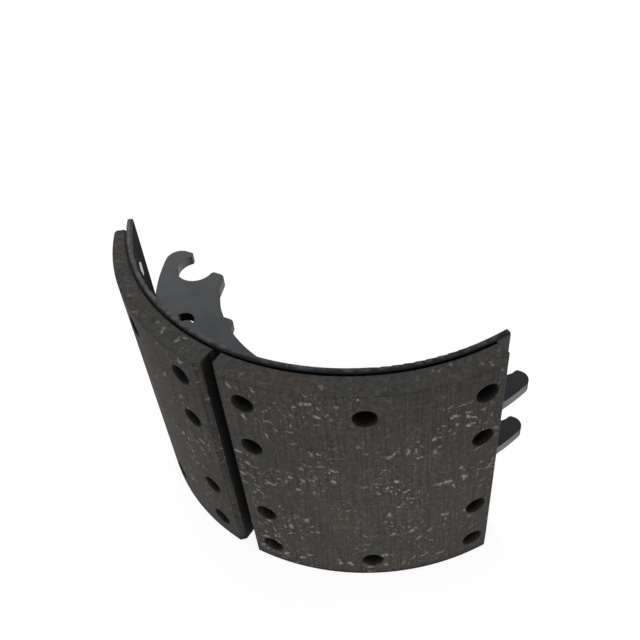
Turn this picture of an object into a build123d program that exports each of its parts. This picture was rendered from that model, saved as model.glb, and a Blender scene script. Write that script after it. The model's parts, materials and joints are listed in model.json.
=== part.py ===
from build123d import *
import math
import os

# A heavy-vehicle drum-brake shoe: a curved steel table, two webs welded inside it,
# and two friction linings riveted outside it.
#
# It is drawn about the drum's axis, which is the Z axis, standing on one edge of the
# table. Angles are in degrees from the middle of the table, which points to -Y. They
# are negative towards the hooked end (-X), which hangs on the anchor pin, and positive
# towards the notched end (+X), which the cam's roller pushes. Lengths are millimetres.

# --- Driving dimensions -------------------------------------------------------------

# Table, the rolled plate that carries the linings
drum_radius = 206.0            # outer face of the linings
lining_thickness = 19.5
table_thickness = 5.0
shoe_width = 238.0             # the table's width, along the drum's axis
table_hook_end_angle = -59.2
table_notch_end_angle = 60.0
table_edge_round = 1.8

# Linings
lining_inset = 1.8             # each side of a lining lies this far inside the table's edge
hook_end_margin = 11.0         # bare table beyond the lining at the hooked end
notch_end_margin = 11.0        # bare table beyond the lining at the notched end
lining_gap = 7.2               # between the two linings, at the table
lining_gap_angle = -4.5        # where the middle of that gap lies
thin_end_thickness = 9.6       # of the hooked end's lining, at its far end
halfway_thinning = 0.37        # share of that thinning reached halfway along the lining
thin_end_bevel = 2.0           # bevels on the friction face's cross edges
hook_block_gap_bevel = 4.3
notch_block_gap_bevel = 8.0
notch_end_bevel = 6.8
lining_edge_round = 0.8        # along the sides of the friction face
lining_back_bevel = 1.8        # along the sides of the face that lies on the table

# Rivets, in rows across the shoe and columns along it
outer_row_offset = 94.5        # from the middle of the width
inner_row_offset = 45.0
hook_block_first_column = -47.9
hook_block_column_pitch = 18.2
notch_block_first_column = 3.6
notch_block_column_pitch = 23.7
rivet_radius = 5.0
rivet_bore_radius = 3.1
rivet_bore_depth = 9.0
rivet_head_radius = 8.0
rivet_head_thickness = 2.2
rivet_roll_radius = 6.2        # the rolled end, inside the table
rivet_roll_height = 2.0
rivet_clearance = 0.1          # round the rivet's body
lining_under_head = 6.5        # lining left between the rivet's head and the table
counterbore_radius = 8.75
cutter_overrun = 1.0           # a cutter passes the face it cuts by this much

# Webs, two equal plates
web_thickness = 9.0
web_spacing = 58.0             # between the middles of the two webs
web_depth = 56.3               # from the table inwards, along the crescent

# Hooked end of a web
hook_seat_radius = 17.0
hook_seat_angle = -70.6
hook_arm = 14.2                # metal outside the seat
hook_tip_rise = 16.7           # the tip's end, above the seat's middle
hook_tip_corner = 13.0
hook_tip_flare = 1.6
hook_tip_edge = 2.0
hook_mouth_angle = 134.0       # where the seat ends, at the tip
heel_rise = 2.2                # the heel's end, above the seat's middle
heel_overhang = 4.0            # the heel reaches this far inside the crescent's inner edge
heel_flare = 3.0
heel_corner = 6.5
heel_lean = 16.0               # the heel's side, off the straight, in degrees
heel_blend = 10.0

# Notched end of a web
notch_radius = 12.0
notch_angle = 72.0
notch_inset = 26.7             # the notch's middle, inwards from the table
notch_rim_round = 2.5
outer_lobe_shortfall = 2.0     # the outer lobe ends this far below the notch's middle
straight_angle = 48.0          # where the crescent runs out into a straight edge
inner_lobe_corner = 5.5
outer_lobe_corner = 8.5

# Holes through both webs: angle, distance inwards from the table, radius
spring_hole_angle = -46.0
spring_hole_inset = 23.3
spring_hole_radius = 8.8
roller_clip_hole_angle = 61.6
roller_clip_hole_inset = 20.6
roller_clip_hole_radius = 6.0
retainer_hole_angle = 37.4
retainer_hole_inset = 19.1
retainer_hole_radius = 5.0

# Stitch welds between webs and table
weld_leg = 5.5
weld_fullness = 0.62           # share of the leg at the bead's middle, where 0.5 is flat
outer_weld_length = 52.0
outer_weld_angles = (-29.5, 27.5)
inner_weld_length = 22.0
inner_weld_angles = (-48.5, 48.5)

# --- Dimensions that follow ---------------------------------------------------------

table_outer_radius = drum_radius - lining_thickness
table_inner_radius = table_outer_radius - table_thickness
middle = shoe_width / 2
lining_bottom = lining_inset
lining_top = shoe_width - lining_inset
lining_width = lining_top - lining_bottom
web_outer_radius = table_inner_radius
web_inner_radius = table_inner_radius - web_depth
web_levels = {
    "lower": middle - web_spacing / 2,
    "upper": middle + web_spacing / 2,
}
hook_seat_centre_radius = table_inner_radius - hook_arm - hook_seat_radius
notch_centre_radius = table_inner_radius - notch_inset
row_levels = (
    middle + outer_row_offset,
    middle + inner_row_offset,
    middle - inner_row_offset,
    middle - outer_row_offset,
)
half_gap = math.degrees(lining_gap / 2 / table_outer_radius)
hook_lining_span = (
    table_hook_end_angle + math.degrees(hook_end_margin / table_outer_radius),
    lining_gap_angle - half_gap,
)
notch_lining_span = (
    lining_gap_angle + half_gap,
    table_notch_end_angle - math.degrees(notch_end_margin / table_outer_radius),
)


def polar(radius, angle, z=0.0):
    """A point at a radius and an angle from the middle of the table."""
    turn = math.radians(angle)
    return Vector(radius * math.sin(turn), -radius * math.cos(turn), z)


def arc_about_axis(radius, start, end):
    """An arc about the drum's axis, from one angle to another."""
    return ThreePointArc(
        polar(radius, start), polar(radius, (start + end) / 2), polar(radius, end)
    )


def radial_axis(angle, z):
    """A plane whose normal points outwards along the radius at this angle."""
    return Plane(origin=(0, 0, z), x_dir=(0, 0, 1), z_dir=polar(1, angle))


# --- Rivets and their holes ---------------------------------------------------------

def rivet_places(first_column, pitch):
    """Angle and level of a lining's ten rivets: columns of four, two and four."""
    for column in range(3):
        rows = (0, 3) if column == 1 else (0, 1, 2, 3)
        for row in rows:
            yield column, row, first_column + column * pitch, row_levels[row]


def along_radius(angle, z, radius, start, end):
    """A round rod along the radius, for cutting a rivet's hole."""
    rod = Cylinder(radius, end - start, align=(Align.CENTER, Align.CENTER, Align.MIN))
    return radial_axis(angle, z) * Pos(0, 0, start) * rod


def rivet(angle, z):
    """A tubular rivet: flat head in the lining, end rolled over inside the table."""
    head_seat = table_outer_radius + lining_under_head
    head_top = head_seat + rivet_head_thickness
    # A flat ring on a hollow cylinder touches it at its two sides.
    roll_seat = math.sqrt(table_inner_radius**2 - rivet_roll_radius**2)
    roll_end = roll_seat - rivet_roll_height
    bore_end = roll_end + rivet_bore_depth
    half_height = rivet_roll_height / 2
    roll_middle = roll_end + half_height
    with BuildPart() as body:
        with BuildSketch(Plane.XZ):
            with BuildLine():
                Polyline(
                    (rivet_bore_radius, roll_middle),
                    (rivet_bore_radius, bore_end - rivet_bore_radius / 2),
                    (0, bore_end),
                    (0, head_top),
                    (rivet_head_radius, head_top),
                    (rivet_head_radius, head_seat),
                    (rivet_radius, head_seat),
                    (rivet_radius, roll_seat),
                    (rivet_roll_radius, roll_seat),
                    (rivet_roll_radius, roll_middle),
                )
                ThreePointArc(
                    (rivet_roll_radius, roll_middle),
                    ((rivet_roll_radius + rivet_bore_radius) / 2, roll_end),
                    (rivet_bore_radius, roll_middle),
                )
            make_face()
        revolve(axis=Axis.Z)
    return radial_axis(angle, z) * body.part


# --- Table --------------------------------------------------------------------------

def table_plate():
    """The curved plate, with a clear hole for each rivet."""
    with BuildSketch() as outline:
        with BuildLine():
            ends = (table_hook_end_angle, table_notch_end_angle)
            outer = arc_about_axis(table_outer_radius, *ends)
            inner = arc_about_axis(table_inner_radius, *ends)
            Line(outer @ 0, inner @ 0)
            Line(outer @ 1, inner @ 1)
        make_face()
    plate = extrude(outline.sketch, shoe_width)
    rims = [
        edge
        for edge in plate.edges().filter_by(GeomType.CIRCLE)
        if edge.length > table_inner_radius
    ]
    plate = fillet(rims, table_edge_round)
    for first, pitch in (
        (hook_block_first_column, hook_block_column_pitch),
        (notch_block_first_column, notch_block_column_pitch),
    ):
        for _, _, angle, z in rivet_places(first, pitch):
            plate -= along_radius(
                angle,
                z,
                rivet_radius + rivet_clearance,
                table_inner_radius - table_thickness,
                table_outer_radius + table_thickness,
            )
    return plate


# --- Linings ------------------------------------------------------------------------

def lining(span, start_thickness, bevels, first_column, pitch):
    """One friction lining, with its counterbored rivet holes.

    It has its full thickness at the end of its span and start_thickness at the start.
    """
    start, end = span
    thinning = lining_thickness - start_thickness
    with BuildSketch() as outline:
        with BuildLine():
            back = arc_about_axis(table_outer_radius, start, end)
            face_start = polar(drum_radius - thinning, start)
            face_middle = polar(drum_radius - thinning * halfway_thinning, (start + end) / 2)
            face_end = polar(drum_radius, end)
            ThreePointArc(face_start, face_middle, face_end)
            Line(back @ 0, face_start)
            Line(back @ 1, face_end)
        make_face()
    block = Pos(0, 0, lining_bottom) * extrude(outline.sketch, lining_width)

    for corner, bevel in zip((face_start, face_end), bevels):
        across = block.edges().filter_by(Axis.Z)
        edge = across.sort_by_distance(corner + Vector(0, 0, middle))[0]
        block = chamfer(edge, bevel)
    friction_face = block.faces().sort_by_distance(face_middle + Vector(0, 0, middle))[0]
    block = fillet(friction_face.edges().filter_by(GeomType.CIRCLE), lining_edge_round)
    back_middle = polar(table_outer_radius, (start + end) / 2, middle)
    back_face = block.faces().sort_by_distance(back_middle)[0]
    block = chamfer(back_face.edges().filter_by(GeomType.CIRCLE), lining_back_bevel)

    seat = table_outer_radius + lining_under_head
    mouth = drum_radius + cutter_overrun
    for _, _, angle, z in rivet_places(first_column, pitch):
        shank = rivet_radius + rivet_clearance
        block -= along_radius(angle, z, shank, table_inner_radius, seat)
        block -= along_radius(angle, z, counterbore_radius, seat, mouth)
    return block


# --- Webs ---------------------------------------------------------------------------

def web_outline():
    """The web's outline: hook, crescent and notched end."""
    seat = polar(hook_seat_centre_radius, hook_seat_angle)
    notch = polar(notch_centre_radius, notch_angle)

    # Hooked end, from the outer corner of the tip round the seat to the crescent
    tip_y = seat.Y + hook_tip_rise
    tip_corner = Vector(-math.sqrt(web_outer_radius**2 - tip_y**2), tip_y)
    mouth = math.radians(hook_mouth_angle)
    seat_start = seat + Vector(math.cos(mouth), math.sin(mouth)) * hook_seat_radius
    tip_inner = Vector(seat_start.X - hook_tip_flare, tip_y)
    seat_end = seat + Vector(math.sqrt(hook_seat_radius**2 - heel_rise**2), heel_rise)
    heel_radius = web_inner_radius - heel_overhang
    heel_end = Vector(-math.sqrt(heel_radius**2 - seat_end.Y**2), seat_end.Y)
    lean = math.radians(heel_lean)
    side = Vector(math.sin(lean), -math.cos(lean))
    along = heel_end.dot(side)
    reach = math.sqrt(along**2 - heel_radius**2 + web_inner_radius**2) - along
    heel_foot = heel_end + side * reach
    foot_angle = math.degrees(math.atan2(heel_foot.X, -heel_foot.Y))

    # Notched end: the crescent leaves along its tangent, up to the lobes' ends
    leave = polar(web_inner_radius, straight_angle)
    turn = math.radians(straight_angle)
    tangent = Vector(math.cos(turn), math.sin(turn))
    lobe_corner = leave + tangent * ((notch.Y - leave.Y) / tangent.Y)
    inner_rim = notch - Vector(notch_radius, 0)
    rim_reach = math.sqrt(notch_radius**2 - outer_lobe_shortfall**2)
    outer_rim = notch + Vector(rim_reach, -outer_lobe_shortfall)
    outer_corner = Vector(math.sqrt(web_outer_radius**2 - outer_rim.Y**2), outer_rim.Y)

    outer_start = math.degrees(math.atan2(tip_corner.X, -tip_corner.Y))
    outer_end = math.degrees(math.atan2(outer_corner.X, -outer_corner.Y))
    with BuildSketch() as outline:
        with BuildLine():
            arc_about_axis(web_outer_radius, outer_start, outer_end)
            Line(tip_corner, tip_inner)
            Line(tip_inner, seat_start)
            ThreePointArc(seat_start, seat - Vector(0, hook_seat_radius), seat_end)
            Line(seat_end, heel_end)
            Line(heel_end, heel_foot)
            arc_about_axis(web_inner_radius, foot_angle, straight_angle)
            Line(leave, lobe_corner)
            Line(lobe_corner, inner_rim)
            ThreePointArc(inner_rim, notch - Vector(0, notch_radius), outer_rim)
            Line(outer_rim, outer_corner)
        make_face()
        for point, radius in (
            (tip_corner, hook_tip_corner),
            (tip_inner, hook_tip_edge),
            (seat_end, heel_flare),
            (heel_end, heel_corner),
            (heel_foot, heel_blend),
            (lobe_corner, inner_lobe_corner),
            (inner_rim, notch_rim_round),
            (outer_rim, notch_rim_round),
            (outer_corner, outer_lobe_corner),
        ):
            fillet(outline.vertices().sort_by_distance(point)[0], radius)
        for angle, inset, radius in (
            (spring_hole_angle, spring_hole_inset, spring_hole_radius),
            (roller_clip_hole_angle, roller_clip_hole_inset, roller_clip_hole_radius),
            (retainer_hole_angle, retainer_hole_inset, retainer_hole_radius),
        ):
            centre = polar(table_inner_radius - inset, angle)
            with Locations((centre.X, centre.Y)):
                Circle(radius, mode=Mode.SUBTRACT)
    return outline.sketch


def web(level):
    """One web, its middle at this level."""
    plate = extrude(web_outline(), web_thickness / 2, both=True)
    return Pos(0, 0, level) * plate


# --- Welds --------------------------------------------------------------------------

def weld_bead(angle, length, web_face, direction):
    """A stitch of fillet weld in the corner of the table and a web's face.

    direction is +1 for a bead above the face and -1 for one below it.
    """
    sweep = math.degrees(length / table_inner_radius)
    # The corner's inner end is pulled in so that the bead stays inside the table's curve.
    bulge = weld_leg * weld_fullness
    with BuildPart() as bead:
        with BuildSketch(Plane.XZ):
            with BuildLine():
                Polyline(
                    (table_inner_radius - weld_leg, web_face),
                    (table_inner_radius, web_face),
                    (table_inner_radius, web_face + direction * weld_leg),
                )
                ThreePointArc(
                    (table_inner_radius, web_face + direction * weld_leg),
                    (table_inner_radius - bulge, web_face + direction * bulge),
                    (table_inner_radius - weld_leg, web_face),
                )
            make_face()
        revolve(axis=Axis.Z, revolution_arc=sweep)
    return Rot(0, 0, angle - 90 - sweep / 2) * bead.part


# --- The whole shoe -----------------------------------------------------------------

def shoe():
    """Every piece of the shoe by name."""
    pieces = {"shoe_table": table_plate()}
    for side, level in web_levels.items():
        pieces[f"{side}_web"] = web(level)
    blocks = (
        (
            "hook_end",
            hook_lining_span,
            thin_end_thickness,
            (thin_end_bevel, hook_block_gap_bevel),
            hook_block_first_column,
            hook_block_column_pitch,
        ),
        (
            "notch_end",
            notch_lining_span,
            lining_thickness,
            (notch_block_gap_bevel, notch_end_bevel),
            notch_block_first_column,
            notch_block_column_pitch,
        ),
    )
    for end, span, start_thickness, bevels, first, pitch in blocks:
        pieces[f"{end}_lining"] = lining(span, start_thickness, bevels, first, pitch)
        for column, row, angle, z in rivet_places(first, pitch):
            pieces[f"{end}_rivet_{column + 1}{row + 1}"] = rivet(angle, z)
    for side, level in web_levels.items():
        outward = 1 if side == "upper" else -1
        for face, length, angles in (
            (outward, outer_weld_length, outer_weld_angles),
            (-outward, inner_weld_length, inner_weld_angles),
        ):
            place = "outer" if face == outward else "inner"
            for end, angle in zip(("hook", "notch"), angles):
                name = f"{side}_web_{place}_weld_{end}_end"
                face_level = level + face * web_thickness / 2
                pieces[name] = weld_bead(angle, length, face_level, face)
    return pieces


def main():
    """Move the origin below the middle of the shoe and write one file per piece."""
    pieces = shoe()
    box = Compound(list(pieces.values())).bounding_box()
    to_origin = Pos(-box.center().X, -box.center().Y, -box.min.Z)
    print("drum axis is at", -box.center().X, -box.center().Y)
    os.makedirs("parts", exist_ok=True)
    for name, piece in pieces.items():
        export_step(to_origin * piece, f"parts/{name}.step")


main()
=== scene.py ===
# %% [markdown]
# # A brake shoe, dressed
#
# The shoe is a curved steel table that carries two friction linings outside and two
# webs inside. The solid model holds its true shape, so this notebook gives it its looks:
# black paint, ground friction material, clenched rivets and rippled welds.
#
# We start by loading the solid model. Its pieces stay exactly where they are.

# %% Load the solid model
import json
import math

import bmesh
import bpy
from mathutils import Matrix, Vector


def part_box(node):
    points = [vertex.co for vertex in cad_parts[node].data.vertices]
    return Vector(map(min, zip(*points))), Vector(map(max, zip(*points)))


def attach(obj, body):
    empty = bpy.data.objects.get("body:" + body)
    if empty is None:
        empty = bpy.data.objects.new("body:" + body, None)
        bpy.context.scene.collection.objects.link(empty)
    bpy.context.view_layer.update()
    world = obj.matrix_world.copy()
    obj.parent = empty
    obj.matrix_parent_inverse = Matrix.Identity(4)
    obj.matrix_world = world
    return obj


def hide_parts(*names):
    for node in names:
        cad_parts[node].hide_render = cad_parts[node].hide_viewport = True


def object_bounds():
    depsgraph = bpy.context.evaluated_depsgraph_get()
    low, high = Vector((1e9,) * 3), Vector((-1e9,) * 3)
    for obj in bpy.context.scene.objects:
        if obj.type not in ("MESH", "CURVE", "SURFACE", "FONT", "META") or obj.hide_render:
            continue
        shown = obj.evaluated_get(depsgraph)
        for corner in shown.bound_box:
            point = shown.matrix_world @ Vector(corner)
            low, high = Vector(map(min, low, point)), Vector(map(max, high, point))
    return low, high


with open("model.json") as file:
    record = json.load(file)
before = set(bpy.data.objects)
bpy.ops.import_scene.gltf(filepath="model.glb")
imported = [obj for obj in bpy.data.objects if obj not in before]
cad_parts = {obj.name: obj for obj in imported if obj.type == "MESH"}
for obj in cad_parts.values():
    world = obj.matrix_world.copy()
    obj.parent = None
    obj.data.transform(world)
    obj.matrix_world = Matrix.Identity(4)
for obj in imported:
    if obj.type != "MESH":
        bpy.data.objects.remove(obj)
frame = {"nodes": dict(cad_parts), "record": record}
cad_low, cad_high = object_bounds()
print("solid model from", tuple(cad_low), "to", tuple(cad_high))

MM = 0.001
BODY = "root"

# %% [markdown]
# Everything on the shoe is round about the drum's axis, so most sizes below are a
# radius and an angle about it. The axis stands upright. Its place comes from the model:
# the linings touch the drum, and the resting edge's mount lies at the table's middle.

# %% Where the drum's axis is, and the shoe's main sizes
DRUM_RADIUS = 206 * MM
TABLE_OUTER_RADIUS = 186.5 * MM
TABLE_INNER_RADIUS = 181.5 * MM

mounts = {mount["name"]: mount for mount in frame["record"]["mounts"]}
lining_low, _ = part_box("notch_end_lining")
drum_axis = Vector((mounts["resting_edge"]["pos_m"][0], lining_low[1] + DRUM_RADIUS, 0))
print("the drum's axis stands at", tuple(drum_axis))


def polar(radius, angle, height=0.0):
    """The point at a radius and an angle in degrees from the table's middle."""
    turn = math.radians(angle)
    return drum_axis + Vector((radius * math.sin(turn), -radius * math.cos(turn), height))


# %% [markdown]
# ## Camera
#
# The camera looks down on the shoe from the notched end's side, so that the top of the
# web, the hook and the whole friction face show at once. A camera can be aimed with a
# Track To constraint, but writing its azimuth, elevation and roll keeps it exact.

# %% Camera
CAMERA_FROM_AXIS = Vector((0.2521, -0.4793, 0.6517))
CAMERA_AZIMUTH = -31.86        # degrees from +Y towards +X
CAMERA_ELEVATION = 45.53       # degrees that it looks down
CAMERA_ROLL = 6.02
FOCAL_SHARE = 831 / 640        # focal length over the sensor's width
SENSOR_WIDTH = 36              # mm
NEAREST_SEEN = 0.01            # metres

azimuth = math.radians(CAMERA_AZIMUTH)
elevation = math.radians(CAMERA_ELEVATION)
roll = math.radians(CAMERA_ROLL)
forward = Vector((
    math.sin(azimuth) * math.cos(elevation),
    math.cos(azimuth) * math.cos(elevation),
    -math.sin(elevation),
))
level_right = Vector((math.cos(azimuth), -math.sin(azimuth), 0))
level_up = level_right.cross(forward)
right = level_right * math.cos(roll) - level_up * math.sin(roll)
up = level_right * math.sin(roll) + level_up * math.cos(roll)

camera_data = bpy.data.cameras.new("camera")
camera_data.sensor_width = SENSOR_WIDTH
camera_data.lens = FOCAL_SHARE * SENSOR_WIDTH
camera_data.clip_start = NEAREST_SEEN
camera = bpy.data.objects.new("camera", camera_data)
axes = Matrix((right, up, -forward)).transposed().to_4x4()
camera.matrix_world = Matrix.Translation(drum_axis + CAMERA_FROM_AXIS) @ axes
bpy.context.collection.objects.link(camera)
bpy.context.scene.camera = camera
print("lens", round(camera_data.lens, 2), "mm")

# %% [markdown]
# ## Nodes from a script
#
# The world, the floor, the finishes and the copied pieces are all node trees. They could
# be drawn by hand, but a script can be read and run again. A few helpers place a node,
# join its sockets and return the output that comes next, so a tree reads like a formula.

# %% Helpers for node trees
def place(tree, kind, **settings):
    """A new node of this kind, with its settings made."""
    node = tree.nodes.new(kind)
    for name, value in settings.items():
        setattr(node, name, value)
    return node


def wire(tree, source, target):
    """Joins an output socket to an input socket."""
    tree.links.new(source, target)


def feed(tree, socket, value):
    """Gives an input socket a value, or joins it to another node's output."""
    if isinstance(value, bpy.types.NodeSocket):
        wire(tree, value, socket)
    else:
        socket.default_value = value


# %% Helpers that give a value or a vector
def math_node(tree, operation, *values, clamp=False):
    """The result of a Math node."""
    node = place(tree, "ShaderNodeMath", operation=operation, use_clamp=clamp)
    for socket, value in zip(node.inputs, values):
        feed(tree, socket, value)
    return node.outputs[0]


def vector_node(tree, operation, *values):
    """The result of a Vector Math node."""
    node = place(tree, "ShaderNodeVectorMath", operation=operation)
    sockets = [node.inputs[0], node.inputs[1]]
    if operation == "SCALE":
        sockets = [node.inputs[0], node.inputs["Scale"]]
    for socket, value in zip(sockets, values):
        feed(tree, socket, value)
    return node.outputs["Value" if operation in ("LENGTH", "DOT_PRODUCT") else "Vector"]


def map_range(tree, value, low, high, to_low=0.0, to_high=1.0, smooth=True):
    """A Map Range node's result, clamped."""
    node = place(tree, "ShaderNodeMapRange", clamp=True)
    node.interpolation_type = "SMOOTHSTEP" if smooth else "LINEAR"
    for name, part in (
        ("Value", value), ("From Min", low), ("From Max", high),
        ("To Min", to_low), ("To Max", to_high),
    ):
        feed(tree, node.inputs[name], part)
    return node.outputs["Result"]


def split(tree, vector):
    """The X, Y and Z outputs of a vector."""
    node = place(tree, "ShaderNodeSeparateXYZ")
    wire(tree, vector, node.inputs[0])
    return node.outputs


# %% Helpers that mix and make patterns
# a Mix node has sockets for each kind of data: first input, second input, output
MIX_SOCKETS = {"FLOAT": (2, 3, 0), "RGBA": (6, 7, 2)}


def mix(tree, factor, first, second, data_type="RGBA", blend="MIX"):
    """The result of a Mix node."""
    node = place(tree, "ShaderNodeMix", data_type=data_type, blend_type=blend)
    first_socket, second_socket, result = MIX_SOCKETS[data_type]
    feed(tree, node.inputs["Factor"], factor)
    feed(tree, node.inputs[first_socket], first)
    feed(tree, node.inputs[second_socket], second)
    return node.outputs[result]


def noise(tree, vector, scale, detail=2.0, roughness=0.5, dimensions="3D", output="Fac"):
    """A Noise Texture's value, or its colour."""
    node = place(tree, "ShaderNodeTexNoise", noise_dimensions=dimensions)
    feed(tree, node.inputs["Vector"], vector)
    feed(tree, node.inputs["Scale"], scale)
    node.inputs["Detail"].default_value = detail
    node.inputs["Roughness"].default_value = roughness
    return node.outputs[output]


# %% [markdown]
# ## Light
#
# The shoe is black and dark grey, so its shape reads from soft reflections and not from
# strong lamps. The world lights it evenly. Two low boxes in front, left and right, brighten
# the friction faces near the floor. A third box stands behind, where the tops of the webs
# mirror it to the camera near the hook. What the camera sees behind the shoe is plain
# white, set apart from the light that falls on it by the Light Path node.

# %% Which rays see the white
def seen_directly(tree):
    """1 for rays from the camera, and for the rays that gloss and glass send on."""
    path = place(tree, "ShaderNodeLightPath")
    seen = math_node(tree, "MAXIMUM", path.outputs["Is Camera Ray"], path.outputs["Is Glossy Ray"])
    return math_node(tree, "MAXIMUM", seen, path.outputs["Is Transmission Ray"])


def seen_and_cast(tree, seen_value, cast_value):
    """One value where the thing is seen, and another for the light that it casts."""
    return map_range(tree, seen_directly(tree), 0, 1, cast_value, seen_value, smooth=False)


# %% The world
WORLD_LIGHT = 0.38             # what falls on the shoe from all round
WORLD_SEEN = 1.0               # what the camera sees: white

world = bpy.data.worlds.new("studio")
bpy.context.scene.world = world
world.use_nodes = True
tree = world.node_tree
background = tree.nodes["Background"]
background.inputs["Color"].default_value = (1, 1, 1, 1)
strength = seen_and_cast(tree, WORLD_SEEN, WORLD_LIGHT)
wire(tree, strength, background.inputs["Strength"])
print("the world lights the shoe at", WORLD_LIGHT, "and is seen at", WORLD_SEEN)


# %% Soft boxes
SOFT_BOXES = (
    # name, place, width, all in metres, and power in watts
    ("behind_hook", (-1.10, 0.95, 1.25), 1.00, 6.00),
    ("low_left", (-0.30, -0.50, 0.03), 0.40, 0.70),
    ("low_right", (0.27, -0.26, 0.02), 0.22, 0.55),
)


def soft_box(name, position, target, width, power):
    """A square area lamp, aimed at a point."""
    data = bpy.data.lights.new(name, "AREA")
    data.shape = "SQUARE"
    data.size = width
    data.energy = power
    lamp = bpy.data.objects.new(name, data)
    lamp.location = position
    lamp.rotation_euler = (target - Vector(position)).to_track_quat("-Z", "Y").to_euler()
    bpy.context.collection.objects.link(lamp)
    print("soft box", name, "of", power, "W")


shoe_middle = (Vector(cad_low) + Vector(cad_high)) / 2
for name, position, width, power in SOFT_BOXES:
    soft_box(name, position, shoe_middle, width, power)

# %% [markdown]
# The floor is a big pale sheet. Under this light a plain white sheet would render grey,
# and more light would bleach the shoe. So where the sheet is seen it glows evenly, a
# little short of white, and the light that falls on it makes up the rest. The shoe's soft
# shadow stays, and the sheet still throws its full share of light back on the shoe.

# %% Floor
FLOOR_HALF_WIDTH = 6.0
FLOOR_COLOUR = 0.85            # for the light that it throws back
FLOOR_SEEN_COLOUR = 0.30       # where it is seen, with the glow below
FLOOR_GLOW = 0.88

floor_mesh = bpy.data.meshes.new("floor")
corner = FLOOR_HALF_WIDTH
floor_mesh.from_pydata(
    [(-corner, -corner, 0), (corner, -corner, 0), (corner, corner, 0), (-corner, corner, 0)],
    [], [(0, 1, 2, 3)],
)
floor = bpy.data.objects.new("floor", floor_mesh)
bpy.context.collection.objects.link(floor)

floor_material = bpy.data.materials.new("floor_sheet")
floor_material.use_nodes = True
tree = floor_material.node_tree
tree.nodes.clear()
sheet = place(tree, "ShaderNodeBsdfDiffuse")
wire(tree, seen_and_cast(tree, FLOOR_SEEN_COLOUR, FLOOR_COLOUR), sheet.inputs["Color"])
glow = place(tree, "ShaderNodeEmission")
wire(tree, seen_and_cast(tree, FLOOR_GLOW, 0.0), glow.inputs["Strength"])
both = place(tree, "ShaderNodeAddShader")
wire(tree, sheet.outputs[0], both.inputs[0])
wire(tree, glow.outputs[0], both.inputs[1])
surface = place(tree, "ShaderNodeOutputMaterial")
wire(tree, both.outputs[0], surface.inputs["Surface"])
floor_mesh.materials.append(floor_material)
print("the floor is", 2 * FLOOR_HALF_WIDTH, "m wide")


# %% [markdown]
# ## Shader groups
#
# Several finishes share an effect, so each effect is a node group with named inputs.
# A group only hands out masks, values and normals. The Principled BSDF stays in each
# material, where its fixed values are set on its own sockets.

# %% A new shader group
def shader_group(name, inputs, outputs):
    """A group with its sockets made, and its input and output nodes.

    inputs maps a name to its default value, and outputs maps a name to a socket type.
    """
    group = bpy.data.node_groups.new(name, "ShaderNodeTree")
    for label, value in inputs.items():
        kind = "NodeSocketVector" if value is None else "NodeSocketFloat"
        socket = group.interface.new_socket(label, in_out="INPUT", socket_type=kind)
        if value is not None:
            socket.default_value = value
    for label, kind in outputs.items():
        group.interface.new_socket(label, in_out="OUTPUT", socket_type=kind)
    print("shader group", name, "gives", ", ".join(outputs))
    return group, place(group, "NodeGroupInput").outputs, place(group, "NodeGroupOutput").inputs


def use_group(tree, group, **values):
    """Places a group in a tree. Each value's name has _ where the input has a space."""
    node = place(tree, "ShaderNodeGroup", node_tree=group)
    for name, value in values.items():
        feed(tree, node.inputs[name.replace("_", " ")], value)
    return node.outputs


# %% [markdown]
# ** Soft edges.** No real edge is sharp: paint and grinding round it, and the tiny round
# catches light. The Bevel node finds edges by looking around each point, so it works on
# the solid model's mesh without changing it. How far the rounded normal leans from the
# flat one also tells where the edges are, which makes a mask for worn edges and painted
# edge highlights.

# %% Group: soft edges
EDGE_BEGINS = 0.995            # cosine of the normal's lean
EDGE_FULL = 0.85

soft_edges, given, result = shader_group(
    "Soft edges", {"Radius": 0.0006}, {"Normal": "NodeSocketVector", "Edge": "NodeSocketFloat"}
)
bevel = place(soft_edges, "ShaderNodeBevel", samples=6)
wire(soft_edges, given["Radius"], bevel.inputs["Radius"])
geometry = place(soft_edges, "ShaderNodeNewGeometry")
lean = vector_node(soft_edges, "DOT_PRODUCT", bevel.outputs["Normal"], geometry.outputs["Normal"])
wire(soft_edges, bevel.outputs["Normal"], result["Normal"])
wire(soft_edges, map_range(soft_edges, lean, EDGE_BEGINS, EDGE_FULL), result["Edge"])

# %% [markdown]
# ** Sheltered places.** Little light reaches the bottom of a hole, so the finishes paint
# shade there. That could be painted by hand, but the Ambient Occlusion node finds such
# places by itself: it looks how much of the half-space over a point is open within a short
# reach. The group gives 1 where it is closed.

# %% Group: sheltered places
sheltered_places, given, result = shader_group(
    "Sheltered places",
    {"Reach": 0.015, "Open": 0.85, "Closed": 0.30},
    {"Sheltered": "NodeSocketFloat"},
)
openness = place(sheltered_places, "ShaderNodeAmbientOcclusion", samples=8)
wire(sheltered_places, given["Reach"], openness.inputs["Distance"])
wire(
    sheltered_places,
    map_range(sheltered_places, openness.outputs["AO"], given["Open"], given["Closed"]),
    result["Sheltered"],
)

# %% [markdown]
# **Flecks.** Friction material is pressed from resin, mineral powder and chopped fibre,
# and grinding cuts through the fibres. A plain noise gives only clouds, so the flecks come
# from Voronoi cells, each of which holds one short straight fleck. The cell's random
# colour gives its direction and says whether it is there at all, and the distance to that
# short line gives its shape.

# %% Group: flecks
FLECK_CORE = 0.35              # share of the width inside which a fleck is full

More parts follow.
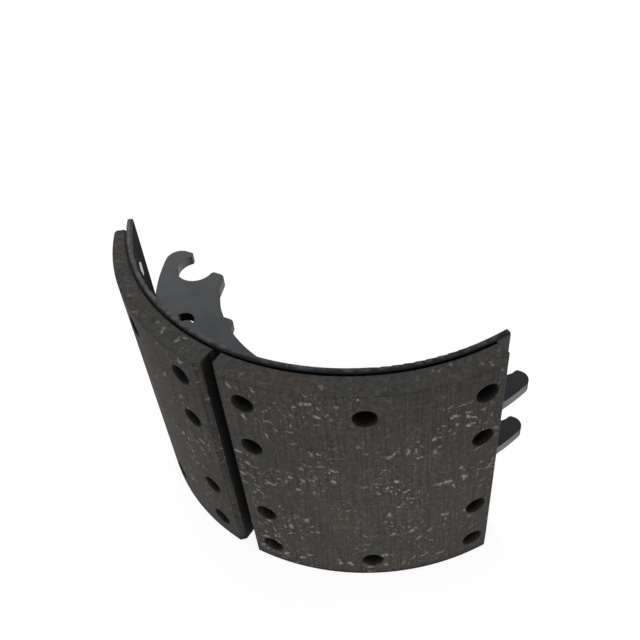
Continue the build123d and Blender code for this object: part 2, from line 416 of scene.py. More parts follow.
flecks, given, result = shader_group(
    "Flecks",
    {"Vector": None, "Cell": 0.006, "Length": 0.4, "Width": 0.1, "Share": 0.3},
    {"Mask": "NodeSocketFloat"},
)
cells = place(flecks, "ShaderNodeTexVoronoi", voronoi_dimensions="2D")
cells.inputs["Scale"].default_value = 1.0
scaled = vector_node(
    flecks, "SCALE", given["Vector"], math_node(flecks, "DIVIDE", 1.0, given["Cell"])
)
wire(flecks, scaled, cells.inputs["Vector"])
chance = place(flecks, "ShaderNodeSeparateColor")
wire(flecks, cells.outputs["Color"], chance.inputs[0])
turn = math_node(flecks, "MULTIPLY", chance.outputs[0], math.tau)
direction = place(flecks, "ShaderNodeCombineXYZ")
wire(flecks, math_node(flecks, "COSINE", turn), direction.inputs[0])
wire(flecks, math_node(flecks, "SINE", turn), direction.inputs[1])
offset = vector_node(flecks, "SUBTRACT", scaled, cells.outputs["Position"])
along = vector_node(flecks, "DOT_PRODUCT", offset, direction.outputs[0])
length = math_node(flecks, "MULTIPLY", given["Length"], chance.outputs[2])
along = math_node(flecks, "MINIMUM", along, length)
along = math_node(flecks, "MAXIMUM", along, math_node(flecks, "MULTIPLY", length, -1.0))
nearest = vector_node(flecks, "SCALE", direction.outputs[0], along)
away = vector_node(flecks, "LENGTH", vector_node(flecks, "SUBTRACT", offset, nearest))
fleck = map_range(
    flecks, away, given["Width"], math_node(flecks, "MULTIPLY", given["Width"], FLECK_CORE)
)
present = math_node(flecks, "LESS_THAN", chance.outputs[1], given["Share"])
wire(flecks, math_node(flecks, "MULTIPLY", fleck, present), result["Mask"])

# %% [markdown]
# **Round the drum.** The flecks lie in the surface, so they need a flat map of it. The
# friction face takes the distance along the arc and the height. The sides of a block
# take the radius in place of the height. Its ends and the walls of its holes take the
# radius in place of the arc.

# %% Group: round the drum
FACING = 0.6                   # share of the normal above which a face looks that way

round_drum, given, result = shader_group(
    "Round the drum",
    {"Vector": None},
    {
        "Flat map": "NodeSocketVector",
        "Radius": "NodeSocketFloat",
        "On side": "NodeSocketFloat",
        "On end": "NodeSocketFloat",
    },
)
from_axis = vector_node(round_drum, "SUBTRACT", given["Vector"], tuple(drum_axis))
x, y, height = split(round_drum, from_axis)
angle = math_node(round_drum, "ARCTAN2", x, math_node(round_drum, "MULTIPLY", y, -1.0))
outwards = vector_node(round_drum, "MULTIPLY", from_axis, (1, 1, 0))
radius = vector_node(round_drum, "LENGTH", outwards)
arc = math_node(round_drum, "MULTIPLY", angle, DRUM_RADIUS)

# %% Which way a face looks
looks_to = place(round_drum, "ShaderNodeNewGeometry").outputs["True Normal"]
upright_share = math_node(round_drum, "ABSOLUTE", split(round_drum, looks_to)[2])
on_side = math_node(round_drum, "GREATER_THAN", upright_share, FACING)
outwards_share = vector_node(
    round_drum, "DOT_PRODUCT", looks_to, vector_node(round_drum, "NORMALIZE", outwards)
)
outwards_share = math_node(round_drum, "ABSOLUTE", outwards_share)
not_end = math_node(round_drum, "ADD", outwards_share, on_side)
on_end = math_node(round_drum, "LESS_THAN", not_end, FACING)

# %% Put the flat map together
flat_map = place(round_drum, "ShaderNodeCombineXYZ")
across = mix(round_drum, on_end, arc, radius, "FLOAT")
upwards = mix(round_drum, on_side, height, radius, "FLOAT")
wire(round_drum, across, flat_map.inputs[0])
wire(round_drum, upwards, flat_map.inputs[1])
for label, output in (
    ("Flat map", flat_map.outputs[0]), ("Radius", radius),
    ("On side", on_side), ("On end", on_end),
):
    wire(round_drum, output, result[label])


# %% [markdown]
# ## Finishes
#
# Each finish is one function that returns a material.

# %% A new material with its Principled BSDF
def new_finish(name, **sockets):
    """A material, its node tree and its Principled BSDF with fixed values set."""
    material = bpy.data.materials.new(name)
    material.use_nodes = True
    shader = material.node_tree.nodes["Principled BSDF"]
    for label, value in sockets.items():
        shader.inputs[label.replace("_", " ")].default_value = value
    print("finish", name)
    return material, material.node_tree, shader


def object_place(tree):
    """Object coordinates, which are metres here."""
    return place(tree, "ShaderNodeTexCoord").outputs["Object"]


def bump(tree, height, distance, strength, normal):
    """A Bump node's normal, laid on another normal."""
    node = place(tree, "ShaderNodeBump")
    node.inputs["Strength"].default_value = strength
    node.inputs["Distance"].default_value = distance
    wire(tree, height, node.inputs["Height"])
    wire(tree, normal, node.inputs["Normal"])
    return node.outputs["Normal"]


NOISE_LOW = 0.3                # most of a noise's values lie between these two
NOISE_HIGH = 0.7


def stained(tree, colour, pattern, dark, light, amount=1.0):
    """The colour, times a pattern that runs evenly from dark to light."""
    shade = map_range(tree, pattern, NOISE_LOW, NOISE_HIGH, dark, light, smooth=False)
    return mix(tree, amount, colour, shade, blend="MULTIPLY")


# %% [markdown]
# ** Friction material.** Its ground is dark grey with a brown cast that drifts from place
# to place. One noise could make it cloudy, but the real thing has several grain sizes, so
# a mottle and a fine grain are laid on the drift. Grinding leaves fine lines across the
# block's width, which are noise on a stretched map. The sides are not ground, and a tint
# paints them paler, as painted light from above.

# %% The ground of the friction material
# noise scales, in waves per metre
DRIFT_SCALE = 22
CROWD_SCALE = 30
MOTTLE_SCALE = 260
WOBBLE_SCALE = 520
LINES_SCALE = 620
GRAIN_SCALE = 1100
CRUMB_SCALE = 1500

GREY_GROUND = (0.047, 0.0445, 0.0400, 1)
BROWN_GROUND = (0.055, 0.0470, 0.0405, 1)
# painted light: the level sides are made paler, as if lit from above
SIDE_PAINTED_LIGHT = (1.62, 1.69, 1.78, 1)
LINE_STRETCH = (1, 0.03, 1)
LINES_ON_FACE = 0.85
LINES_ON_SIDE = 0.15


def ground_lines(tree, flat):
    """Fine lines across the width of a block."""
    stretched = place(tree, "ShaderNodeMapping")
    stretched.inputs["Scale"].default_value = LINE_STRETCH
    wire(tree, flat, stretched.inputs["Vector"])
    return noise(tree, stretched.outputs[0], LINES_SCALE, 3, 0.7, dimensions="2D")


def friction_ground(tree, place_here, grain, lines, on_side):
    """The ground's colour, without the chips."""
    drift = map_range(tree, noise(tree, place_here, DRIFT_SCALE, 3), 0.38, 0.66)
    ground = mix(tree, drift, GREY_GROUND, BROWN_GROUND)
    mottle = noise(tree, place_here, MOTTLE_SCALE, 4, 0.65)
    ground = stained(tree, ground, mottle, 0.66, 1.34)
    ground = stained(tree, ground, grain, 0.50, 1.52)
    lined = map_range(tree, on_side, 0, 1, LINES_ON_FACE, LINES_ON_SIDE)
    ground = stained(tree, ground, lines, 0.60, 1.38, lined)
    # painted light: the level sides are painted paler, as if lit from above
    return mix(tree, on_side, ground, SIDE_PAINTED_LIGHT, blend="MULTIPLY")


# %% [markdown]
# Crumbly pale chips and short fibres lie in the ground, crowded in some places and scarce
# in others. They could be painted or scattered as flat pieces. Here each size of chip is
# one layer of the Flecks group, on a map that a wobble makes uneven, and the layers are
# joined by taking the palest.

# %% The chips of the friction material
CHIP_LAYERS = (
    # cell in metres, then half length, half width, share of cells, strength
    (0.0150, 0.16, 0.14, 0.36, 1.00),
    (0.0100, 0.30, 0.11, 0.38, 1.00),
    (0.0062, 0.30, 0.15, 0.32, 0.75),
    (0.0030, 0.22, 0.25, 0.30, 0.45),
)
LAYER_SHIFT = (0.37, 0.71, 0)  # metres, so that the layers' cells fall differently
WOBBLE_REACH = 3.4 * MM


def chip_mask(tree, place_here, flat, on_end):
    """How pale the chips and fibres make each spot."""
    wobble = noise(tree, flat, WOBBLE_SCALE, 6, dimensions="2D", output="Color")
    shift = vector_node(tree, "SUBTRACT", wobble, (0.5, 0.5, 0.5))
    uneven = vector_node(tree, "ADD", flat, vector_node(tree, "SCALE", shift, WOBBLE_REACH))
    pale = 0.0
    for number, (cell, length, width, share, strength) in enumerate(CHIP_LAYERS):
        moved = vector_node(tree, "ADD", uneven, tuple(part * number for part in LAYER_SHIFT))
        layer = use_group(
            tree, flecks, Vector=moved, Cell=cell, Length=length, Width=width, Share=share
        )["Mask"]
        pale = math_node(tree, "MAXIMUM", pale, math_node(tree, "MULTIPLY", layer, strength))
    crowd = noise(tree, place_here, CROWD_SCALE, 3)
    crumbs = noise(tree, flat, CRUMB_SCALE, 3, 0.7, dimensions="2D")
    for part in (
        map_range(tree, crowd, 0.44, 0.60, 0.08, 1.0),
        map_range(tree, crumbs, 0.40, 0.56, 0.10, 1.0),
        math_node(tree, "SUBTRACT", 1.0, on_end),
    ):
        pale = math_node(tree, "MULTIPLY", pale, part)
    return pale


# %% [markdown]
# The friction material is darker along its edges, and painted shade darkens it in its
# holes. In the joint with the table the Ambient Occlusion node would paint shade over a
# broad band, so a mask by the distance from the table keeps it off there.

# %% Friction material
CHIP_COLOUR = (0.38, 0.37, 0.345, 1)
RIM_COLOUR = (0.018, 0.017, 0.016, 1)
RIM_AMOUNT = 0.30
# painted shade in the holes
PAINTED_HOLE_SHADE = (0.0030, 0.0030, 0.0030, 1)
JOINT_DEPTH = 3 * MM           # outwards from the table


def friction_material():
    """Ground friction material with pale chips and fibres."""
    material, tree, shader = new_finish(
        "friction_material", Roughness=0.85, Specular_IOR_Level=0.2
    )
    place_here = object_place(tree)
    drum_map = use_group(tree, round_drum, Vector=place_here)
    flat = drum_map["Flat map"]
    grain = noise(tree, place_here, GRAIN_SCALE, 3, 0.7)
    lines = ground_lines(tree, flat)
    ground = friction_ground(tree, place_here, grain, lines, drum_map["On side"])
    pale = chip_mask(tree, place_here, flat, drum_map["On end"])
    colour = mix(tree, pale, ground, CHIP_COLOUR)

    edges = use_group(tree, soft_edges, Radius=0.9 * MM)
    rim = math_node(tree, "MULTIPLY", edges["Edge"], RIM_AMOUNT)
    colour = mix(tree, rim, colour, RIM_COLOUR)
    # painted shade: the Ambient Occlusion mask darkens the holes, kept off the joint with the
    # table
    sheltered = use_group(tree, sheltered_places, Reach=14 * MM, Open=0.92, Closed=0.50)
    past_joint = math_node(tree, "SUBTRACT", drum_map["Radius"], TABLE_OUTER_RADIUS)
    off_joint = map_range(tree, past_joint, JOINT_DEPTH, 2 * JOINT_DEPTH)
    dark = math_node(tree, "MULTIPLY", sheltered["Sheltered"], off_joint)
    colour = mix(tree, dark, colour, PAINTED_HOLE_SHADE)
    wire(tree, colour, shader.inputs["Base Color"])

    height = math_node(tree, "MULTIPLY_ADD", grain, 0.5, math_node(tree, "MULTIPLY", lines, 0.4))
    wire(tree, bump(tree, height, 0.3 * MM, 0.6, edges["Normal"]), shader.inputs["Normal"])
    return material


# %% [markdown]
# ** Black paint.** The table and the webs are dipped or sprayed black after welding. The
# paint is thin and satin, with a slight orange peel, a little dust in its sheen and paler
# edges, partly rubbed and partly a painted highlight. It lies thicker and shines more on
# the webs' faces than on the table, and most of all on the webs' cut edges. A mask could
# steer one paint's sheen, but three paints with a plain sheen each are simpler, and only
# the table's has a painted sheen, a paler colour where it lies level. Painted shade darkens
# holes and corners. Paint mist dulls the sheen where the eye skims along a face, which the
# Layer Weight node finds.

# %% The paint's values
TABLE_SHEEN = 0.18
LEVEL_PAINTED_SHEEN = 0.9               # painted sheen on the table's level cut edges, a paler colour
WEB_SHEEN = 0.25
CUT_EDGE_SHEEN = 1.0

SHEEN_TINT = (0.90, 0.96, 1.0, 1)
CLEAN_PAINT = (0.0055, 0.0062, 0.0075, 1)
DUSTY_PAINT = (0.0105, 0.0115, 0.0135, 1)
SPECK_COLOUR = (0.09, 0.09, 0.095, 1)
SPECK_AMOUNT = 0.30
WEAR_AND_SHEEN_COLOUR = (0.09, 0.094, 0.100, 1)
# edges rubbed paler, partly a painted highlight
EDGE_WEAR_AND_HIGHLIGHT = 0.5
# painted shade in holes and corners
PAINTED_CORNER_SHADE = (0.002, 0.002, 0.002, 1)

# noise scales, in waves per metre
DUST_SCALE = 45
RUB_SCALE = 160
PEEL_SCALE = 520
SPECK_SCALE = 1400


# %% Where the paint is rubbed, and where highlight and sheen are painted
def wear_and_painted_sheen(tree, place_here, edge, level_painted_sheen):
    """How far the edges are rubbed paler, partly a painted highlight, and the level faces painted
    with sheen.
    """
    rubbed = map_range(tree, noise(tree, place_here, RUB_SCALE, 3), 0.38, 0.66)
    looks_to = place(tree, "ShaderNodeNewGeometry").outputs["True Normal"]
    upright_share = math_node(tree, "ABSOLUTE", split(tree, looks_to)[2])
    # painted sheen: level faces are painted paler
    level = map_range(tree, upright_share, 0.70, 0.97, 0.0, level_painted_sheen)
    ridge = math_node(tree, "MAXIMUM", math_node(tree, "MULTIPLY", edge, EDGE_WEAR_AND_HIGHLIGHT), level)
    return math_node(tree, "MULTIPLY", ridge, rubbed)


# %% Black paint
def black_paint(name, sheen, level_painted_sheen=0.0):
    """Thin satin black paint on steel plate, with a painted sheen on level faces where that is
    asked.
    """
    material, tree, shader = new_finish(name, Specular_IOR_Level=sheen, Specular_Tint=SHEEN_TINT)
    place_here = object_place(tree)
    edges = use_group(tree, soft_edges, Radius=0.7 * MM)
    sheltered = use_group(tree, sheltered_places, Reach=4 * MM, Open=0.50, Closed=0.20)

    dust = noise(tree, place_here, DUST_SCALE, 6, 0.62)
    colour = mix(tree, map_range(tree, dust, 0.35, 0.75), CLEAN_PAINT, DUSTY_PAINT)
    specks = map_range(tree, noise(tree, place_here, SPECK_SCALE, 1), 0.70, 0.80)
    specks = math_node(tree, "MULTIPLY", specks, SPECK_AMOUNT)
    colour = mix(tree, specks, colour, SPECK_COLOUR)
    wear_and_sheen = wear_and_painted_sheen(tree, place_here, edges["Edge"], level_painted_sheen)
    # rubbed edges with a painted highlight, and painted sheen on level faces
    colour = mix(tree, wear_and_sheen, colour, WEAR_AND_SHEEN_COLOUR)
    # painted shade: the Ambient Occlusion mask darkens holes and corners
    colour = mix(tree, sheltered["Sheltered"], colour, PAINTED_CORNER_SHADE)
    wire(tree, colour, shader.inputs["Base Color"])

    roughness = map_range(tree, dust, 0.3, 0.75, 0.26, 0.38)
    skimming = place(tree, "ShaderNodeLayerWeight").outputs["Facing"]
    roughness = map_range(tree, skimming, 0.60, 0.85, roughness, 1.0)
    wire(tree, roughness, shader.inputs["Roughness"])
    peel = noise(tree, place_here, PEEL_SCALE)
    wire(tree, bump(tree, peel, 0.12 * MM, 0.35, edges["Normal"]), shader.inputs["Normal"])
    return material


# %% [markdown]
# **Rivet steel.** The clenched ends inside the table are bare and bright, rubbed by the
# tool that rolled them. The heads at the bottom of their holes are dull and dark. Both
# are one finish with its own colour and roughness, and a smear varies the two together.

# %% Rivet steel
BRIGHT_COLOUR = (0.62, 0.61, 0.59)
BRIGHT_ROUGHNESS = 0.34
DULL_COLOUR = (0.016, 0.015, 0.014)
DULL_ROUGHNESS = 0.60
SMEAR_SCALE = 700              # waves per metre
SMEAR_DARK = 0.5               # share of the colour that is left in a smear


def rivet_steel(name, colour, roughness):
    """Bare steel, bright or dulled."""
    material, tree, shader = new_finish(name, Metallic=1.0)
    edges = use_group(tree, soft_edges, Radius=0.3 * MM)
    smear = noise(tree, object_place(tree), SMEAR_SCALE, 4, 0.6)
    dark = tuple(part * SMEAR_DARK for part in colour)
    streaked = mix(tree, map_range(tree, smear, 0.35, 0.65), dark + (1,), colour + (1,))
    wire(tree, streaked, shader.inputs["Base Color"])
    rough = map_range(tree, smear, NOISE_LOW, NOISE_HIGH, roughness + 0.12, roughness - 0.08)
    wire(tree, rough, shader.inputs["Roughness"])
    wire(tree, bump(tree, smear, 0.1 * MM, 0.4, edges["Normal"]), shader.inputs["Normal"])
    return material


# %% [markdown]
# The solid model's own pieces take their finishes by name. A web takes two: its level
# faces the web paint, and all its other faces the cut edges' paint.

# %% Give the solid model's pieces their finishes
paint = black_paint("black_paint", TABLE_SHEEN, LEVEL_PAINTED_SHEEN)
web_paint = black_paint("web_paint", WEB_SHEEN)
cut_edge_paint = black_paint("cut_edge_paint", CUT_EDGE_SHEEN)
friction = friction_material()
bright_steel = rivet_steel("clenched_steel", BRIGHT_COLOUR, BRIGHT_ROUGHNESS)
dull_steel = rivet_steel("dulled_steel", DULL_COLOUR, DULL_ROUGHNESS)
LEVEL_SHARE = 0.5              # of a face's normal, above which it counts as level


def finish_node(name, *materials):
    """Gives a piece of the solid model its materials, and returns its mesh."""
    mesh = frame["nodes"][name].data
    mesh.materials.clear()
    for material in materials:
        mesh.materials.append(material)
    return mesh


for name in frame["nodes"]:
    if "lining" in name:
        finish_node(name, friction)
    elif "rivet" in name:
        finish_node(name, dull_steel)
    elif name.endswith("_web"):
        web_mesh = finish_node(name, web_paint, cut_edge_paint)
        for face in web_mesh.polygons:
            face.material_index = int(abs(face.normal.z) < LEVEL_SHARE)
    else:
        finish_node(name, paint)
print(len(frame["nodes"]), "pieces of the solid model have a finish")

# %% [markdown]
# ## Rivets
#
# Each rivet is a soft steel tube with a flat head. The head sits deep in the lining, and
# the tube's end is rolled outwards inside the table. All twenty are the same, so one
# rivet is turned from its profile and Geometry Nodes copy it to each seat.

# %% One rivet, turned from its profile
HEAD_SEAT = TABLE_OUTER_RADIUS + 6.5 * MM
HEAD_TOP = HEAD_SEAT + 2.2 * MM
HEAD_RADIUS = 8.0 * MM
SHANK_RADIUS = 5.0 * MM
BORE_RADIUS = 3.1 * MM
ROLL_RADIUS = 6.2 * MM
ROLL_SEAT = math.sqrt(TABLE_INNER_RADIUS**2 - ROLL_RADIUS**2)
ROLL_HEIGHT = 2.0 * MM
BORE_DEPTH = 9.0 * MM
DIMPLE_RADIUS = 3.0 * MM       # of the shallow dimple in the head
DIMPLE_DEPTH = 0.5 * MM
DIMPLE_SLOPE = 0.6 * MM
HEAD_EDGE = 0.4 * MM           # bevel round the head
LIP_STEPS = 10
TURNED_SIDES = 40


def rolled_lip():
    """Points over the rolled end, from its outer foot to the bore."""
    middle = (ROLL_RADIUS + BORE_RADIUS) / 2
    half = (ROLL_RADIUS - BORE_RADIUS) / 2
    base = ROLL_SEAT - ROLL_HEIGHT / 2
    for step in range(LIP_STEPS + 1):
        turn = math.pi * step / LIP_STEPS
        yield middle + half * math.cos(turn), base - ROLL_HEIGHT / 2 * math.sin(turn)


def rivet_profile():
    """(distance from the rivet's line, distance from the drum's axis) round one side."""
    yield 0.0, HEAD_TOP - DIMPLE_DEPTH
    yield DIMPLE_RADIUS, HEAD_TOP - DIMPLE_DEPTH
    yield DIMPLE_RADIUS + DIMPLE_SLOPE, HEAD_TOP
    yield HEAD_RADIUS - HEAD_EDGE, HEAD_TOP
    yield HEAD_RADIUS, HEAD_TOP - HEAD_EDGE
    yield HEAD_RADIUS, HEAD_SEAT
    yield SHANK_RADIUS, HEAD_SEAT
    yield SHANK_RADIUS, ROLL_SEAT
    yield ROLL_RADIUS, ROLL_SEAT
    yield from rolled_lip()
    bottom = ROLL_SEAT - ROLL_HEIGHT + BORE_DEPTH
    yield BORE_RADIUS, bottom - BORE_RADIUS / 2
    yield 0.0, bottom


# %% [markdown]
# The profile could go to a Screw modifier, but a spin in bmesh gives the closed mesh at
# once. The clenching tool then presses shallow folds into the rolled end.

# %% Turn the rivet and clench it
FOLDS = 6
FOLD_DEPTH = 0.28 * MM
FOLD_BEGINS = 0.4 * MM         # below the rolled end's seat


def turned_mesh(name, profile, sides):
    """A closed mesh made by turning a profile about Z."""
    mesh = bpy.data.meshes.new(name)
    shape = bmesh.new()
    points = [shape.verts.new((out, 0, height)) for out, height in profile]
    lines = [shape.edges.new(pair) for pair in zip(points, points[1:])]
    bmesh.ops.spin(
        shape, geom=points + lines, cent=(0, 0, 0), axis=(0, 0, 1),
        angle=math.tau, steps=sides, use_merge=True,
    )
    bmesh.ops.remove_doubles(shape, verts=shape.verts, dist=1e-6)
    bmesh.ops.recalc_face_normals(shape, faces=shape.faces)
    for face in shape.faces:
        face.smooth = True
    shape.to_mesh(mesh)
    shape.free()
    return mesh


def clench(mesh):
    """Presses shallow folds into the rolled lip, as a clenching tool leaves."""
    for vertex in mesh.vertices:
        x, y, height = vertex.co
        out = math.hypot(x, y)
        depth = ROLL_SEAT - height
        if depth > FOLD_BEGINS and out > BORE_RADIUS * 0.9:
            fold = 0.5 + 0.5 * math.cos(FOLDS * math.atan2(y, x))
            vertex.co.z += FOLD_DEPTH * fold**3 * min(depth / ROLL_HEIGHT, 1)


rivet_mesh = turned_mesh("rivet_pattern", list(rivet_profile()), TURNED_SIDES)
clench(rivet_mesh)
rivet_pattern = bpy.data.objects.new("rivet_pattern", rivet_mesh)
print("one rivet has", len(rivet_mesh.polygons), "faces")


# %% [markdown]
# A seat is one vertex, on the drum's axis at the rivet's height. Its points_to attribute
# says which way the rivet points, because a lone vertex has no normal of its own to give.
# Geometry Nodes turn the rivet's own Z to that direction, copy it to every seat, and give
# the heads and the clenched ends their own steel by their distance from the drum's axis.

# %% Helpers for geometry trees
def geometry_group(name, inputs):
    """A geometry node tree with a mesh in, a mesh out and named inputs.

    inputs maps a name to a socket type.
    """
    group = bpy.data.node_groups.new(name, "GeometryNodeTree")
    group.interface.new_socket("Geometry", in_out="INPUT", socket_type="NodeSocketGeometry")
    for label, kind in inputs.items():
        group.interface.new_socket(label, in_out="INPUT", socket_type=kind)
    group.interface.new_socket("Geometry", in_out="OUTPUT", socket_type="NodeSocketGeometry")
    print("geometry tree", name, "takes", ", ".join(inputs))
    return group, place(group, "NodeGroupInput").outputs, place(group, "NodeGroupOutput").inputs


def run_group(name, mesh, group, **values):
    """Runs a geometry tree on a mesh and returns the result as a plain object."""
    carrier = bpy.data.objects.new(name + "_carrier", mesh)
    bpy.context.collection.objects.link(carrier)
    modifier = carrier.modifiers.new("tree", "NODES")
    modifier.node_group = group
    sockets = {
        item.name: item.identifier
        for item in group.interface.items_tree
        if item.in_out == "INPUT"
    }
    for label, value in values.items():
        modifier[sockets[label.replace("_", " ")]] = value
    view = bpy.context.evaluated_depsgraph_get()
    result = bpy.data.meshes.new_from_object(carrier.evaluated_get(view), depsgraph=view)
    result.name = name
    bpy.data.objects.remove(carrier)
    piece = bpy.data.objects.new(name, result)
    bpy.context.collection.objects.link(piece)
    print(name, "has", len(result.polygons), "faces")
    return piece


# %% The tree that sets the rivets
set_rivets, given, result = geometry_group(
    "Set rivets",
    {
        "Rivet": "NodeSocketObject",
        "Head radius": "NodeSocketFloat",
        "Drum axis": "NodeSocketVector",
        "Head steel": "NodeSocketMaterial",
        "Clenched steel": "NodeSocketMaterial",
    },
)
pattern = place(set_rivets, "GeometryNodeObjectInfo")
wire(set_rivets, given["Rivet"], pattern.inputs["Object"])
aim = place(set_rivets, "GeometryNodeInputNamedAttribute", data_type="FLOAT_VECTOR")
aim.inputs["Name"].default_value = "points_to"
turn_to = place(set_rivets, "FunctionNodeAlignRotationToVector", axis="Z")
wire(set_rivets, aim.outputs["Attribute"], turn_to.inputs["Vector"])
copies = place(set_rivets, "GeometryNodeInstanceOnPoints")
wire(set_rivets, given["Geometry"], copies.inputs["Points"])
wire(set_rivets, pattern.outputs["Geometry"], copies.inputs["Instance"])
wire(set_rivets, turn_to.outputs["Rotation"], copies.inputs["Rotation"])

# %% Give the rivets' two ends their steel
real = place(set_rivets, "GeometryNodeRealizeInstances")
wire(set_rivets, copies.outputs[0], real.inputs[0])
bright = place(set_rivets, "GeometryNodeSetMaterial")
wire(set_rivets, real.outputs[0], bright.inputs["Geometry"])
wire(set_rivets, given["Clenched steel"], bright.inputs["Material"])
where = place(set_rivets, "GeometryNodeInputPosition")
gap = vector_node(set_rivets, "SUBTRACT", where.outputs[0], given["Drum axis"])
level = vector_node(set_rivets, "MULTIPLY", gap, (1, 1, 0))
outside = math_node(
    set_rivets, "GREATER_THAN", vector_node(set_rivets, "LENGTH", level), given["Head radius"]
)
dull = place(set_rivets, "GeometryNodeSetMaterial")
wire(set_rivets, bright.outputs[0], dull.inputs["Geometry"])
wire(set_rivets, outside, dull.inputs["Selection"])
wire(set_rivets, given["Head steel"], dull.inputs["Material"])
wire(set_rivets, dull.outputs[0], result["Geometry"])

# %% [markdown]
# Each lining has ten rivets in three columns. Its middle column has only the outer two
# rows, and the other columns have all four.

# %% Set the rivets
RIVET_COLUMNS = (-47.9, -29.7, -11.5, 3.6, 27.3, 51.0)     # degrees
MIDDLE_COLUMNS = (RIVET_COLUMNS[1], RIVET_COLUMNS[4])
RIVET_ROWS = (213.5 * MM, 164 * MM, 74 * MM, 24.5 * MM)    # heights
OUTER_ROWS = (RIVET_ROWS[0], RIVET_ROWS[-1])

seats = bpy.data.meshes.new("rivet_seats")
seat_points = []
seat_aims = []
for column in RIVET_COLUMNS:
    for row in OUTER_ROWS if column in MIDDLE_COLUMNS else RIVET_ROWS:
        seat_points.append(drum_axis + Vector((0, 0, row)))
        seat_aims.append(polar(1, column) - drum_axis)
seats.from_pydata(seat_points, [], [])
aims = seats.attributes.new("points_to", "FLOAT_VECTOR", "POINT")
aims.data.foreach_set("vector", [part for seat_aim in seat_aims for part in seat_aim])

rivets = run_group(
    "rivets", seats, set_rivets,
    Rivet=rivet_pattern,
    Head_radius=TABLE_OUTER_RADIUS,
    Drum_axis=drum_axis,
    Head_steel=dull_steel,
    Clenched_steel=bright_steel,
)
bpy.data.objects.remove(rivet_pattern)
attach(rivets, BODY)
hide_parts(*[name for name in frame["nodes"] if "rivet" in name])


# %% [markdown]
# ## Welds
#
# A fillet weld runs in the corner between web and table. The welder's arc pauses at
# every step, so the bead is a row of overlapping ripples, and its ends taper off. It could
# be sculpted, but one rule gives all eight beads. The bead is a tube swept along the
# corner, and Geometry Nodes make its radius swell and shrink by the distance along it.

# %% The tree that lays a weld
STEPS_PER_RIPPLE = 8
LEAST_END = 0.04               # square of the end's least share of the bead's radius
TUBE_SIDES = 20
BULGE_SCALE = 260              # waves per metre
BULGE_HEIGHT = 0.9 * MM

lay_weld, given, result = geometry_group(
    "Lay weld",
    {
        "Bead radius": "NodeSocketFloat",
        "Ripple": "NodeSocketFloat",
        "Ripple depth": "NodeSocketFloat",
        "Taper": "NodeSocketFloat",
        "Paint": "NodeSocketMaterial",
    },
)
to_curve = place(lay_weld, "GeometryNodeMeshToCurve")
wire(lay_weld, given["Geometry"], to_curve.inputs[0])
fine = place(lay_weld, "GeometryNodeResampleCurve", mode="LENGTH")
wire(lay_weld, to_curve.outputs[0], fine.inputs["Curve"])
step_length = math_node(lay_weld, "DIVIDE", given["Ripple"], STEPS_PER_RIPPLE)
wire(lay_weld, step_length, fine.inputs["Length"])

# %% How the bead's girth changes along it
along_curve = place(lay_weld, "GeometryNodeSplineParameter")
whole = place(lay_weld, "GeometryNodeSplineLength")
travelled = along_curve.outputs["Length"]
beat = math_node(lay_weld, "FRACT", math_node(lay_weld, "DIVIDE", travelled, given["Ripple"]))
swell = math_node(lay_weld, "SINE", math_node(lay_weld, "MULTIPLY", beat, math.pi))
swell = math_node(lay_weld, "MULTIPLY_ADD", swell, given["Ripple depth"], 1.0)
left = math_node(lay_weld, "SUBTRACT", whole.outputs["Length"], travelled)
near_end = math_node(lay_weld, "MINIMUM", travelled, left)
share = math_node(lay_weld, "DIVIDE", near_end, given["Taper"], clamp=True)
short = math_node(lay_weld, "SUBTRACT", 1.0, share)
roundness = math_node(lay_weld, "SUBTRACT", 1.0, math_node(lay_weld, "MULTIPLY", short, short))
roundness = math_node(lay_weld, "SQRT", math_node(lay_weld, "MAXIMUM", roundness, LEAST_END))
girth = math_node(lay_weld, "MULTIPLY", swell, roundness)

# %% Sweep the bead, roughen it and paint it
sized = place(lay_weld, "GeometryNodeSetCurveRadius")
wire(lay_weld, fine.outputs[0], sized.inputs["Curve"])
wire(lay_weld, girth, sized.inputs["Radius"])
ring = place(lay_weld, "GeometryNodeCurvePrimitiveCircle", mode="RADIUS")
ring.inputs["Resolution"].default_value = TUBE_SIDES
wire(lay_weld, given["Bead radius"], ring.inputs["Radius"])
tube = place(lay_weld, "GeometryNodeCurveToMesh")
wire(lay_weld, sized.outputs[0], tube.inputs["Curve"])
wire(lay_weld, ring.outputs[0], tube.inputs["Profile Curve"])
wire(lay_weld, girth, tube.inputs["Scale"])
tube.inputs["Fill Caps"].default_value = True
uneven = place(lay_weld, "ShaderNodeTexNoise")
uneven.inputs["Scale"].default_value = BULGE_SCALE
bulge = place(lay_weld, "GeometryNodeSetPosition")
wire(lay_weld, tube.outputs[0], bulge.inputs["Geometry"])
facing = place(lay_weld, "GeometryNodeInputNormal")
push = math_node(
    lay_weld, "MULTIPLY_ADD", uneven.outputs["Fac"], BULGE_HEIGHT, -BULGE_HEIGHT / 2
)
wire(lay_weld, vector_node(lay_weld, "SCALE", facing.outputs[0], push), bulge.inputs["Offset"])
solid = place(lay_weld, "GeometryNodeRealizeInstances")
wire(lay_weld, bulge.outputs[0], solid.inputs[0])
coated = place(lay_weld, "GeometryNodeSetMaterial")
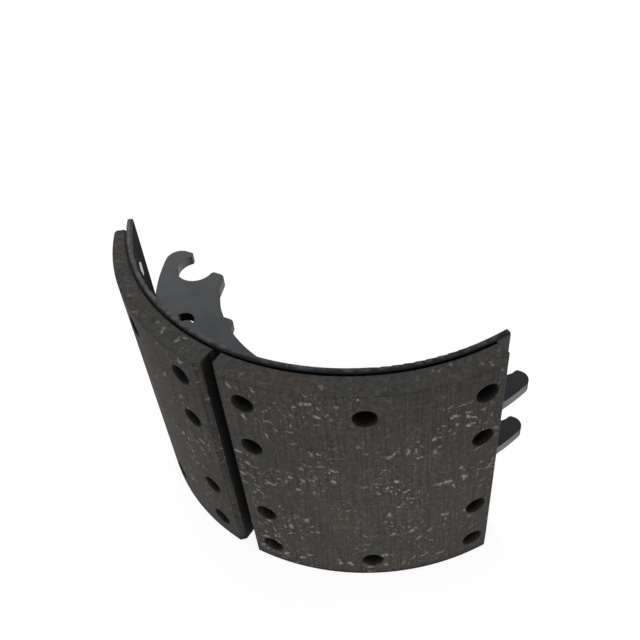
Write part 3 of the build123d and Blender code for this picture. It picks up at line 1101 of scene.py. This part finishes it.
wire(lay_weld, solid.outputs[0], coated.inputs["Geometry"])
wire(lay_weld, given["Paint"], coated.inputs["Material"])
wire(lay_weld, coated.outputs[0], result["Geometry"])

# %% [markdown]
# The eight beads follow the solid model's plain ones. The height of each is read from its
# plain bead's box, and its stretch of the corner is an angle and a length given below.

# %% Lay the welds
WELD_STRETCHES = {
    # place and end: middle angle in degrees, length
    "outer_weld_hook_end": (-29.5, 52 * MM),
    "outer_weld_notch_end": (27.5, 52 * MM),
    "inner_weld_hook_end": (-48.5, 22 * MM),
    "inner_weld_notch_end": (48.5, 22 * MM),
}
BEAD_RADIUS = 3.6 * MM
BEAD_STAND_OFF = 1.3 * MM      # from both plates to the bead's middle
RIPPLE = 2.6 * MM
RIPPLE_DEPTH = 0.14            # share of the bead's radius
TAPER = 4 * MM
PATH_STEPS = 24


def corner_path(name, angle, length, height):
    """A line of edges along the corner, about the drum's axis."""
    radius = TABLE_INNER_RADIUS - BEAD_STAND_OFF
    half_sweep = math.degrees(length / 2 / radius)
    points = [
        polar(radius, angle - half_sweep + 2 * half_sweep * step / PATH_STEPS, height)
        for step in range(PATH_STEPS + 1)
    ]
    mesh = bpy.data.meshes.new(name)
    mesh.from_pydata(points, [(step, step + 1) for step in range(PATH_STEPS)], [])
    return mesh


for web in ("lower_web", "upper_web"):
    web_low, web_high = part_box(web)
    for stretch, (angle, length) in WELD_STRETCHES.items():
        node = f"{web}_{stretch}"
        bead_low, bead_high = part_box(node)
        above = bead_low[2] > (web_low[2] + web_high[2]) / 2
        height = bead_low[2] + BEAD_STAND_OFF if above else bead_high[2] - BEAD_STAND_OFF
        bead = run_group(
            node + "_bead", corner_path(node + "_path", angle, length, height), lay_weld,
            Bead_radius=BEAD_RADIUS,
            Ripple=RIPPLE,
            Ripple_depth=RIPPLE_DEPTH,
            Taper=TAPER,
            Paint=paint,
        )
        bead.data.shade_smooth()
        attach(bead, BODY)
        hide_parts(node)

# %% Set the view transform
bpy.context.scene.view_settings.view_transform = "Standard"
